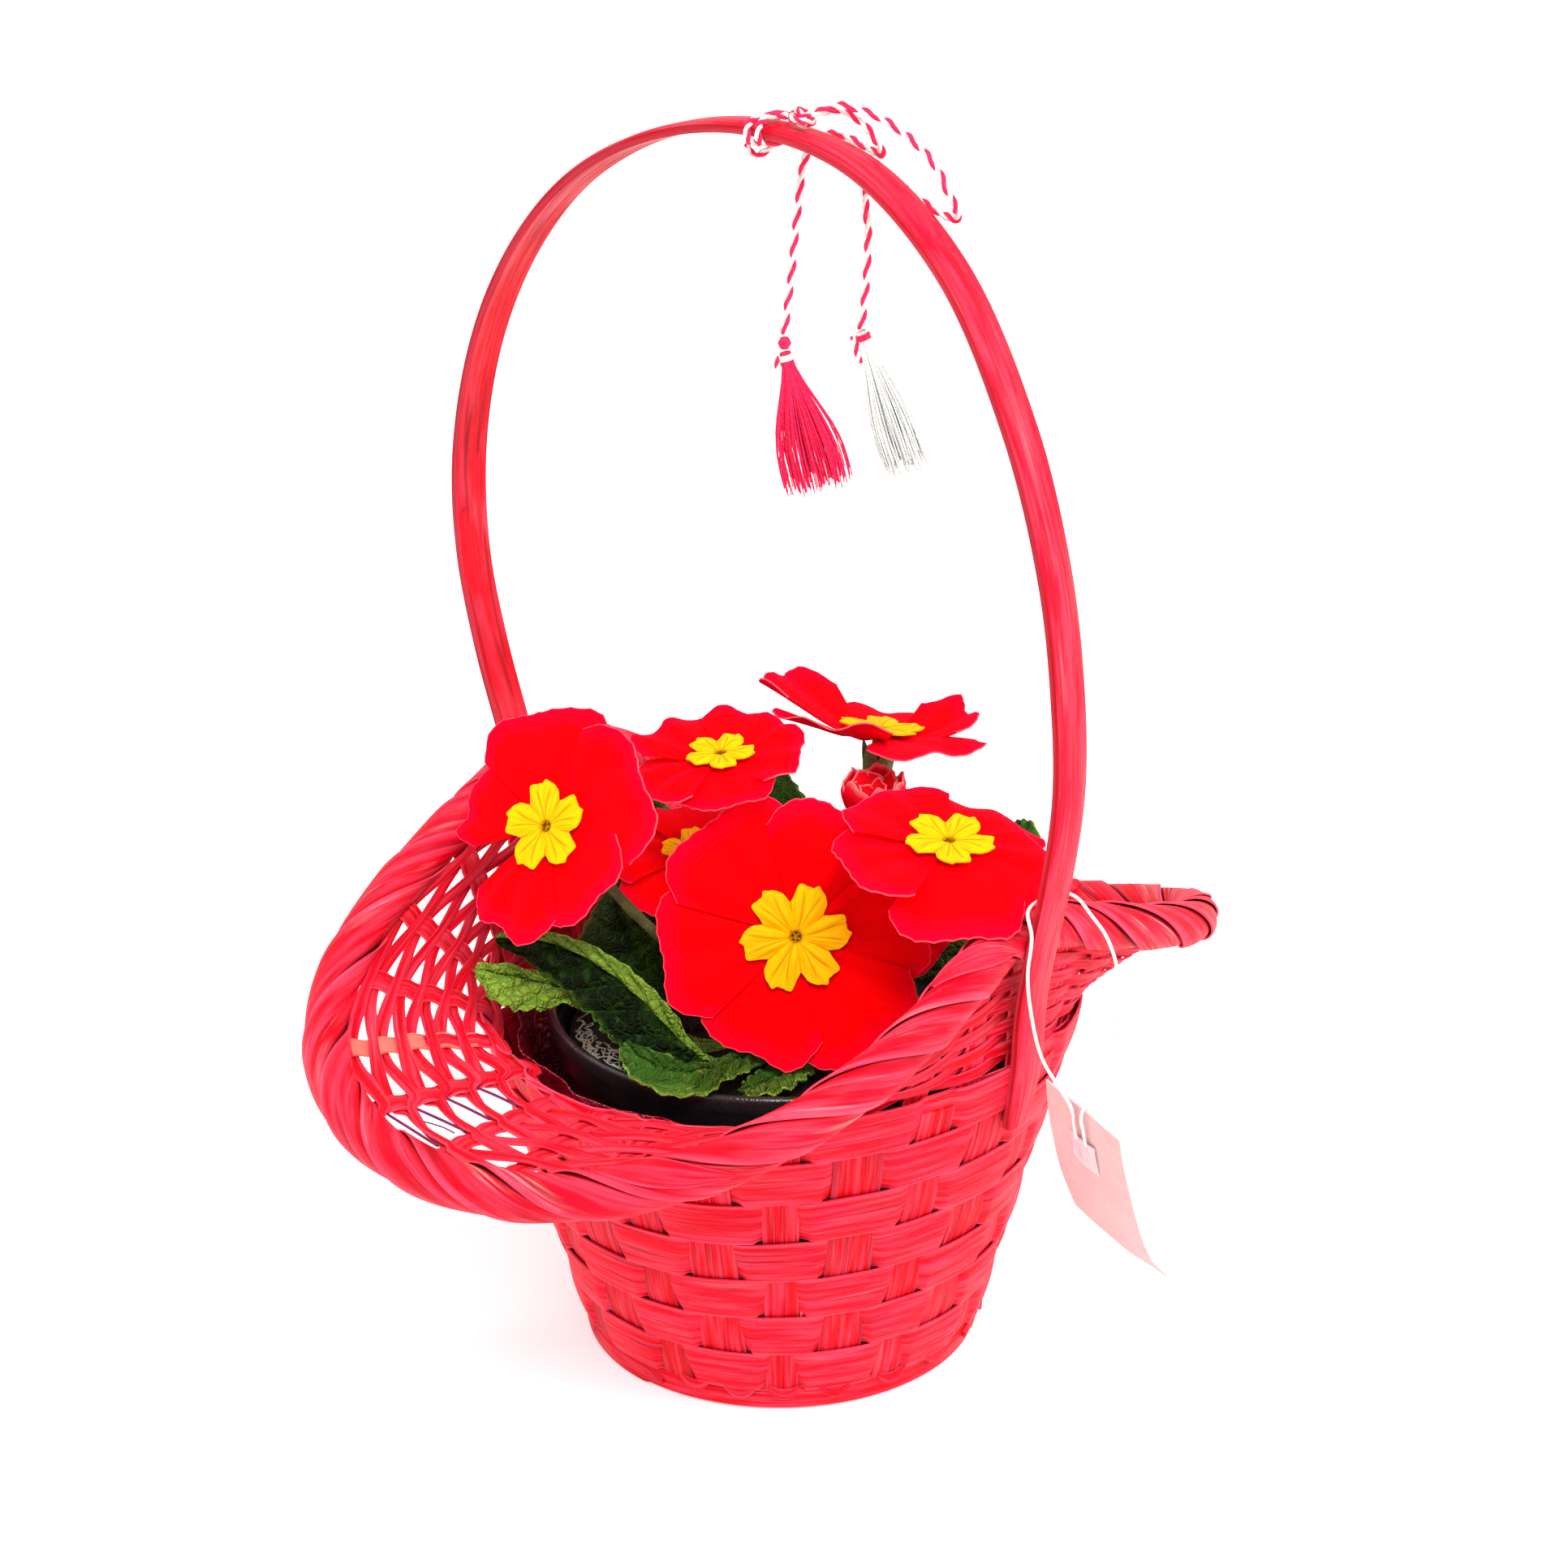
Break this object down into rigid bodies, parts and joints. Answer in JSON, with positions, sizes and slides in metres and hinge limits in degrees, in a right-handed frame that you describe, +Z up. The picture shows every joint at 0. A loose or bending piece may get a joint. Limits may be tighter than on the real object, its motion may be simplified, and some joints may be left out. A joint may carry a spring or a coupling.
{
  "type": "potted primrose",
  "caption": "Red-flowered primrose in a black nursery pot, set in a hat-shaped woven bamboo basket with a hoop handle.",
  "frame": {"origin": "middle of the basket's underside, on the surface it stands on", "axes": "+Z up, X along the basket's long way through its two drooping lobes, hoop handle in the YZ plane"},
  "size_m": [0.2091, 0.1752, 0.2722],
  "materials": {
    "dyed_bamboo": "split bamboo strip, dyed crimson, dry and slightly glossy",
    "dyed_slat": "bent bamboo slat, dyed crimson, paler on its outer face",
    "film": "thin crumpled dark red film",
    "pot": "thin black nursery pot",
    "peat": "dark crumbly peat",
    "rootstock": "rough plant crown",
    "leaf": "puckered, net-veined green leaf",
    "petal": "velvety red petal",
    "eye": "velvety yellow centre of the bloom",
    "stem": "downy pale green stalk",
    "twisted_cord": "red and white strands twisted together",
    "red_thread": "red thread",
    "white_thread": "white thread",
    "card": "pale pink card",
    "tape": "strip of clear tape",
    "tag_cord": "thin white thread"
  },
  "bodies": {
    "root": {"basket_bucket": "dyed_bamboo", "basket_brim": "dyed_bamboo", "rim_binding": "dyed_bamboo", "handle": "dyed_slat", "liner_film": "film", "nursery_pot": "pot", "soil": "peat", "crown": "rootstock", "leaf_1": "leaf", "leaf_2": "leaf", "leaf_3": "leaf", "leaf_4": "leaf", "leaf_5": "leaf", "leaf_6": "leaf", "leaf_7": "leaf", "leaf_8": "leaf", "leaf_9": "leaf", "leaf_10": "leaf", "leaf_11": "leaf", "leaf_12": "leaf", "flower_1_petals": "petal", "flower_1_eye": "eye", "flower_1_stem": "stem", "flower_2_petals": "petal", "flower_2_eye": "eye", "flower_2_stem": "stem", "flower_3_petals": "petal", "flower_3_eye": "eye", "flower_3_stem": "stem", "flower_4_petals": "petal", "flower_4_eye": "eye", "flower_4_stem": "stem", "flower_5_petals": "petal", "flower_5_eye": "eye", "flower_5_stem": "stem", "flower_6_petals": "petal", "flower_6_eye": "eye", "flower_6_stem": "stem", "flower_7_petals": "petal", "flower_7_eye": "eye", "flower_7_stem": "stem", "bud_petals": "petal", "bud_stem": "stem", "cord_knot": "twisted_cord", "cord_red_end": "twisted_cord", "cord_white_end": "twisted_cord", "cord_bead": "red_thread", "tassel_red": "red_thread", "tassel_white": "white_thread", "tag_card": "card", "tag_tape": "tape", "tag_thread": "tag_cord"}
  },
  "joints": []
}
